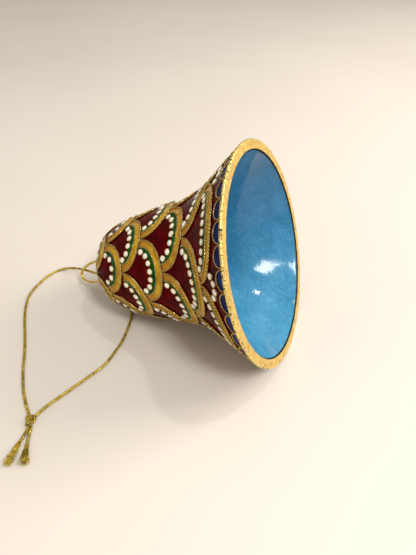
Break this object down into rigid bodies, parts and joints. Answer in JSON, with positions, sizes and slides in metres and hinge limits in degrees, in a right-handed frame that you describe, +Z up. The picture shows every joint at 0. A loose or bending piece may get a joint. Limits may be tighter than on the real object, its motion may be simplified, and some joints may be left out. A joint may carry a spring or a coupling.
{
  "type": "christmas bell ornament",
  "caption": "Flared cloisonne enamel bell on its side, with fish-scale wirework, a gilded mouth rim, a wire hanging loop, a swinging clapper and a knotted gold cord.",
  "frame": {"origin": "on the table under the middle of the bell and its hanging loop, the cord left out", "axes": "+Z up, +X along the table from the crown towards the mouth, +Y to the bell's side away from the cord's knot"},
  "size_m": [0.1014, 0.1075, 0.0659],
  "materials": {
    "copper": "satin copper",
    "blue_enamel": "glossy mottled turquoise enamel",
    "gilding": "worn gilding",
    "red_enamel": "glossy dark red enamel",
    "amber_enamel": "glossy amber enamel",
    "green_enamel": "glossy green enamel",
    "white_enamel": "glossy white enamel",
    "navy_enamel": "glossy dark blue enamel",
    "brass_wire": "polished",
    "brass_bead": "polished",
    "gold_cord": "metallic thread"
  },
  "bodies": {
    "bell": {"copper_shell": "copper", "blue_lining": "blue_enamel", "mouth_rim": "gilding", "red_ground": "red_enamel", "crown_collar": "gilding", "amber_bands": "amber_enamel", "green_crescents": "green_enamel", "white_dots": "white_enamel", "outer_scale_wires": "gilding", "inner_scale_wires": "gilding", "blue_scallops": "navy_enamel", "scallop_wires": "gilding", "crown_wire": "gilding", "hanging_loop": "brass_wire", "crown_pin": "brass_wire", "cord_left_run": "gold_cord", "cord_right_run": "gold_cord", "cord_knot": "gold_cord", "left_tail": "gold_cord", "right_tail": "gold_cord", "left_tassel": "gold_cord", "right_tassel": "gold_cord"},
    "clapper": {"clapper_wire": "brass_wire"},
    "bead": {"clapper_bead": "brass_bead"}
  },
  "joints": [
    {"name": "clapper_swing", "type": "hinge", "parent": "bell", "child": "clapper", "pos_m": [-0.02086, 0, 0.01449], "axis": [0, -1, 0], "range_deg": [0, 59]},
    {"name": "bead_spin", "type": "hinge", "parent": "clapper", "child": "bead", "pos_m": [0.00773, 0, 0.00966], "axis": [0.9861, 0, -0.1664], "continuous": true}
  ]
}
